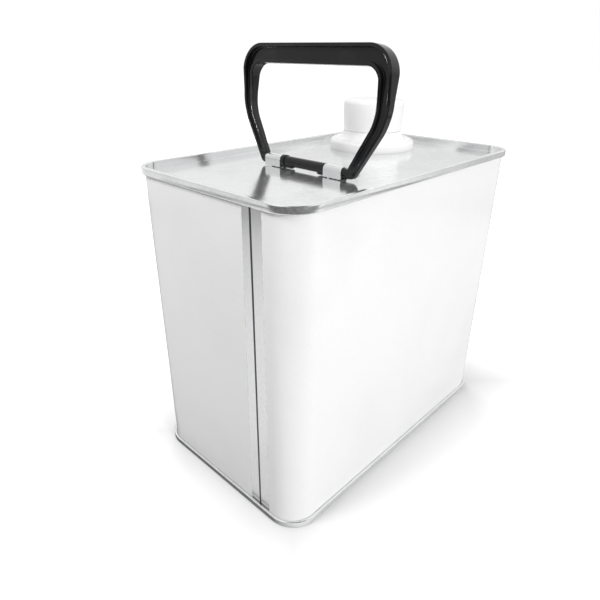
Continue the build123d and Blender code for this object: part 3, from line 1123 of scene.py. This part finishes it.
# %% The spout, the cap and its liner
SPOUT_BORE = 11.3 * MM
SPOUT_TOP = 22.25 * MM
STOP_TOP, STOP_FOOT = -9.3 * MM, -10.8 * MM
STOP_RADIUS = 13.8 * MM
LIP_HEIGHT, LIP_SOFT = 2.4 * MM, 0.08 * MM
LIP_WAIST, LIP_BORE = 12.1 * MM, 12.3 * MM
SPOUT_CORNERS = [
    (SPOUT_BORE, STOP_FOOT, 0),
    (STOP_RADIUS, STOP_FOOT, CORNER_SOFT),
    (STOP_RADIUS, STOP_TOP, CORNER_SOFT),
    (SPOUT_RADIUS, STOP_TOP, 0),
    (SPOUT_RADIUS, SPOUT_TOP - 2 * LIP_HEIGHT, 0),
    (LIP_WAIST, SPOUT_TOP - LIP_HEIGHT, LIP_HEIGHT),
    (SPOUT_RADIUS, SPOUT_TOP, LIP_SOFT),
    (LIP_BORE, SPOUT_TOP, LIP_SOFT),
    (SPOUT_BORE, SPOUT_TOP - LIP_HEIGHT, CORNER_SOFT),
]
CAP_FOOT, CAP_TOP, CAP_CEILING = 9.12 * MM, 24.6 * MM, 23.6 * MM
CAP_FOOT_RADIUS, CAP_TOP_RADIUS, CAP_WALL = 15.3 * MM, 15.9 * MM, 1.0 * MM
CAP_ROUND, CAP_INNER_ROUND = 2.2 * MM, 0.8 * MM
SLEEVE_BORE, SLEEVE_RADIUS, SLEEVE_FOOT = 12.9 * MM, 13.7 * MM, CAP_FOOT + 0.3 * MM
CAP_CORNERS = [
    (0, CAP_TOP, 0),
    (CAP_TOP_RADIUS, CAP_TOP, CAP_ROUND),
    (CAP_FOOT_RADIUS, CAP_FOOT, CORNER_SOFT),
    (CAP_FOOT_RADIUS - CAP_WALL, CAP_FOOT, CORNER_SOFT),
    (CAP_TOP_RADIUS - CAP_WALL, CAP_CEILING, CAP_INNER_ROUND),
    (SLEEVE_RADIUS, CAP_CEILING, 0),
    (SLEEVE_RADIUS, SLEEVE_FOOT, CORNER_SOFT),
    (SLEEVE_BORE, SLEEVE_FOOT, CORNER_SOFT),
    (SLEEVE_BORE, CAP_CEILING, 0),
    (0, CAP_CEILING, 0),
]
LINER_FOOT = 22.4 * MM
LINER_CORNERS = [
    (0, LINER_FOOT, 0),
    (SPOUT_RADIUS, LINER_FOOT, CORNER_SOFT),
    (SPOUT_RADIUS, CAP_CEILING, 0),
    (0, CAP_CEILING, 0),
]
spout = build_turned("pouring_spout", SPOUT_CORNERS)
finish_piece(spout, milky_plastic, "white_plastic", "spout", "pull_up_spout")
cap = build_turned("push_on_cap", CAP_CORNERS)
finish_piece(cap, milky_plastic, "white_plastic", "cap", "spout_cap")
liner = build_turned("sealing_liner", LINER_CORNERS)
finish_piece(liner, liner_foam, "liner_foam", "cap", "cap_liner")

# %% [markdown]
# The sealing compound and the gasket are right as they are in the frame, because they
# are plain rings shut inside the seams and under the closure. They only get a finish.

# %% Seals kept from the frame
for node in ("top_seam_compound", "bottom_seam_compound", "neck_gasket"):
    kept = frame["nodes"][node]
    kept.data.materials.clear()
    kept.data.materials.append(seam_rubber)
print("Kept three seals from the frame")

# %% [markdown]
# The tin stands on white paper. What the camera sees of it directly is plain: near the
# tin the paper shows its real light and shadow, and further out it glows to pure white.
# The glow fades in over a few centimetres, which paints a soft shadow round the tin.
# All other light meets a studio. The paper ends at a dark desk, which begins nearer on
# the camera's side, and beyond the desk the room is light again. So the mirror-like
# seams show the desk as the darker lines that make them look like metal. To gloss, the
# paper is also painted dark from just outside the tin's left side onwards, except in
# front of the tin. This is a painted contact shadow, and the base's seam on the left shows it.

# %% Helpers for the studio
def add_mixed_material(plane, name, kind, *parts):
    """Gives a plane a material that adds or mixes two shaders."""
    material = bpy.data.materials.new(name)
    material.use_nodes = True
    tree = material.node_tree
    tree.nodes.clear()
    first, second = (tree.nodes.new(part) for part in parts)
    joined = tree.nodes.new(kind)
    shader_inputs = [socket for socket in joined.inputs if socket.type == "SHADER"]
    for part, socket in zip((first, second), shader_inputs):
        feed(part.outputs[0], socket)
    output = tree.nodes.new("ShaderNodeOutputMaterial")
    set_inputs(output, Surface=joined.outputs["Shader"])
    plane.data.materials.append(material)
    return tree, first, second, joined


def aim(thing, target):
    """Turns a card or a lamp to face a place."""
    thing.rotation_mode = "QUATERNION"
    thing.rotation_quaternion = (target - thing.location).to_track_quat("-Z", "Y")


# %% The paper floor
FLOOR_SIZE = 12.0
PAPER, DESK, ROOM = 0.76, 0.1, 0.95
PAPER_BOUNCE = 0.12
PAPER_REACH, DESK_REACH = 0.48, 0.56
EDGE_BLUR = 0.025
CAMERA_SIDE = Vector((-0.72, -0.69, 0))
CAMERA_SIDE_REACH = (0.15, 0.3)
# The glow's fade towards the tin paints a soft shadow round it.
PAPER_GLOW = (0, 0.6)
GLOW_FADE = 60 * MM
# Painted contact shadow: how dark gloss sees the paper beside the tin's left side, and how far.
CONTACT_SHADOW_TONE = 0.13
CONTACT_SHADOW_REACH = (2.6 * MM, 1.8 * MM)


def tone_around(places, path):
    """How light the paper, the desk and the room are to all rays but the camera's."""
    distance = vector_math("LENGTH", places)
    past_paper = rise(distance, PAPER_REACH - EDGE_BLUR, PAPER_REACH + EDGE_BLUR)
    past_desk = rise(distance, DESK_REACH - EDGE_BLUR, DESK_REACH + EDGE_BLUR)
    towards_camera = vector_math("DOT_PRODUCT", places, CAMERA_SIDE)
    camera_side = rise(towards_camera, *CAMERA_SIDE_REACH)

    # Painted contact shadow: to gloss only, the paper beside the tin's left side is painted dark.
    x, y, _ = split_axes(places)
    left_edge = -HALF_LENGTH - SEAM_REACH
    beside = rise(x, *(left_edge - reach for reach in CONTACT_SHADOW_REACH))
    in_front = rise(y, -HALF_WIDTH, CORNER_RADIUS - HALF_WIDTH)
    painted_contact_shadow = all_of(beside, in_front, path.outputs["Is Glossy Ray"])

    paper = choose(path.outputs["Is Diffuse Ray"], PAPER, PAPER_BOUNCE)
    paper = choose(painted_contact_shadow, paper, CONTACT_SHADOW_TONE)
    past_edge = choose(past_desk, DESK, ROOM)
    return choose(camera_side, choose(past_paper, paper, past_edge), DESK)


def glow_around(places):
    """How strongly the paper glows to the camera: not at all at the tin, and more outside."""
    # The fade of the glow towards the tin is a painted soft shadow round it.
    folded = vector_math("ABSOLUTE", places)
    outside = vector_math("SUBTRACT", folded, (HALF_LENGTH, HALF_WIDTH, 0))
    x, y, _ = split_axes(outside)
    return map_value(calculate(x, "MAXIMUM", y), *PAPER_GLOW, 0, GLOW_FADE)


def build_floor():
    """A large sheet of white paper that also stands for the desk and the room."""
    floor = add_plane("paper_floor", FLOOR_SIZE)
    tree, paper, glow, _ = add_mixed_material(
        floor, "white_paper", "ShaderNodeAddShader", "ShaderNodeBsdfDiffuse", "ShaderNodeEmission"
    )
    places = object_places(tree)
    path = tree.nodes.new("ShaderNodeLightPath")
    seen = path.outputs["Is Camera Ray"]
    tone = choose(seen, tone_around(places, path), PAPER)
    set_inputs(paper, Color=tone)
    set_inputs(glow, Strength=choose(seen, 0, glow_around(places)))


build_floor()
print("The paper ends", PAPER_REACH, "m from the tin, and the desk", DESK_REACH, "m")

# %% [markdown]
# The air is the world around the studio. It is white where the camera sees it, and a
# little darker low down where gloss sees it, as a room is below its windows.

# %% The air
AIR_LIGHT = 0.7
AIR_LOW, AIR_WHITE = 0.55, 1.0
AIR_LOW_END = 0.3


def build_air():
    """The world: plain white where it is seen, darker low down where it is reflected."""
    world = bpy.data.worlds.new("studio_air")
    bpy.context.scene.world = world
    world.use_nodes = True
    tree = world.node_tree
    background = tree.nodes["Background"]
    direction = tree.nodes.new("ShaderNodeTexCoord").outputs["Generated"]
    _, _, upwards = split_axes(direction)
    reflected = map_value(upwards, AIR_LOW, AIR_WHITE, 0, AIR_LOW_END)
    path = tree.nodes.new("ShaderNodeLightPath").outputs
    seen = calculate(path["Is Camera Ray"], "MAXIMUM", path["Is Transmission Ray"])
    unseen = choose(path["Is Glossy Ray"], AIR_LIGHT, reflected)
    set_inputs(background, Color=(1, 1, 1), Strength=choose(seen, unseen, AIR_WHITE))


build_air()
print("Light of the air", AIR_LIGHT)

# %% [markdown]
# Metal and gloss look like what they reflect. So three grey cards stand around the tin
# that only its reflections see, and fade out at their sides. A tall dark one above the
# camera's side darkens the near corner of the lid's seam and the handle. A lighter one
# at the left gives the clips and the left rim their tone, and a low one at the right
# lets the long rim grow darker towards its far end.

# %% Cards
CARD_FADE = (0.2, 0.5)
CARDS = {
    "camera_side_card": (Vector((-0.25, -0.36, 0.55)), 0.8, 1.1, 0.12),
    "left_card": (Vector((-0.26, 0.25, 0.33)), 0.42, 0.34, 0.65),
    "right_card": (Vector((0.5, -0.03, 0.05)), 0.72, 0.12, 0.5),
}


def build_card(name, place, width, height, tone):
    """A card of a grey tone that faces the tin and is only reflected."""
    card = add_plane(name, 1)
    card.scale = (width, height, 1)
    card.location = place
    aim(card, Vector((0, 0, min(place.z, CREST))))
    tree, grey, _, mix = add_mixed_material(
        card, name, "ShaderNodeMixShader", "ShaderNodeEmission", "ShaderNodeBsdfTransparent"
    )
    set_inputs(grey, Strength=tone)
    across, _, _ = split_axes(vector_math("ABSOLUTE", object_places(tree)))
    set_inputs(mix, Fac=rise(across, *CARD_FADE))
    for rays in ("camera", "diffuse", "transmission", "shadow"):
        setattr(card, f"visible_{rays}", False)


for name, values in CARDS.items():
    build_card(name, *values)
print("Cards:", ", ".join(CARDS))

# %% [markdown]
# Three soft boxes light the tin, and don't show in it. A large one on the right of the
# camera lights the long side, a small weak one at the left lights the short side and the
# lid, and one behind keeps the back from going grey. A last, tiny lamp shines on the
# handle alone, and draws the thin light along its left rib.

# %% Lamps
SOFT_BOXES = {
    "right_soft_box": (Vector((-0.1, -0.9, 0.3)), 0.5, 6.2),
    "left_soft_box": (Vector((-0.26, 0.06, 0.36)), 0.12, 0.62),
    "back_soft_box": (Vector((0.55, 0.75, 0.4)), 0.5, 4.0),
}
RIB_LIGHT = (Vector((-0.047, 0.105, 0.148)), 0.028, 0.12)


def add_soft_box(name, place, size, power, only=None):
    """A square lamp that points at the tin. A lamp for one piece shows in its gloss."""
    lamp = bpy.data.lights.new(name, "AREA")
    lamp.size = size
    lamp.energy = power
    box = bpy.data.objects.new(name, lamp)
    bpy.context.scene.collection.objects.link(box)
    box.location = place
    aim(box, Vector((0, 0, CREST / 2)))
    box.visible_glossy = only is not None
    if only:
        lit = bpy.data.collections.new(name)
        lit.objects.link(only)
        box.light_linking.receiver_collection = lit


for name, values in SOFT_BOXES.items():
    add_soft_box(name, *values)
add_soft_box("rib_light", *RIB_LIGHT, only=handle)
print("Lamps:", ", ".join(SOFT_BOXES), "and one on the handle")

# %% [markdown]
# The camera looks down at the tin's welded corner from close by, which is why the sides
# lean together downwards. Its place and turn were worked out from the tin's corners and
# edges in the photograph. The small shift moves the lens's axis off the middle.

# %% Camera
IMAGE_PIXELS = 600
FOCAL_PIXELS = 505.0
AXIS_PIXEL_X, AXIS_PIXEL_Y = 301.7, 296.0
CAMERA_PLACE = Vector((-186.3, -152.4, 187.1)) * MM
CAMERA_AZIMUTH = math.radians(-46.61)
CAMERA_ELEVATION = math.radians(25.92)
CAMERA_ROLL = math.radians(0.54)
SENSOR = 36.0
NEAREST_SEEN = 0.01

lens = bpy.data.cameras.new("photo_camera")
lens.sensor_width = SENSOR
lens.lens = SENSOR * FOCAL_PIXELS / IMAGE_PIXELS
lens.shift_x = (IMAGE_PIXELS / 2 - AXIS_PIXEL_X) / IMAGE_PIXELS
lens.shift_y = (AXIS_PIXEL_Y - IMAGE_PIXELS / 2) / IMAGE_PIXELS
lens.clip_start = NEAREST_SEEN
camera = bpy.data.objects.new("photo_camera", lens)
bpy.context.scene.collection.objects.link(camera)
turn = (
    Matrix.Rotation(CAMERA_AZIMUTH, 4, "Z")
    @ Matrix.Rotation(math.pi / 2 - CAMERA_ELEVATION, 4, "X")
    @ Matrix.Rotation(CAMERA_ROLL, 4, "Z")
)
camera.matrix_world = Matrix.Translation(CAMERA_PLACE) @ turn
bpy.context.scene.camera = camera
bpy.context.scene.view_settings.view_transform = "Standard"
print("Lens", round(lens.lens, 2), "mm")
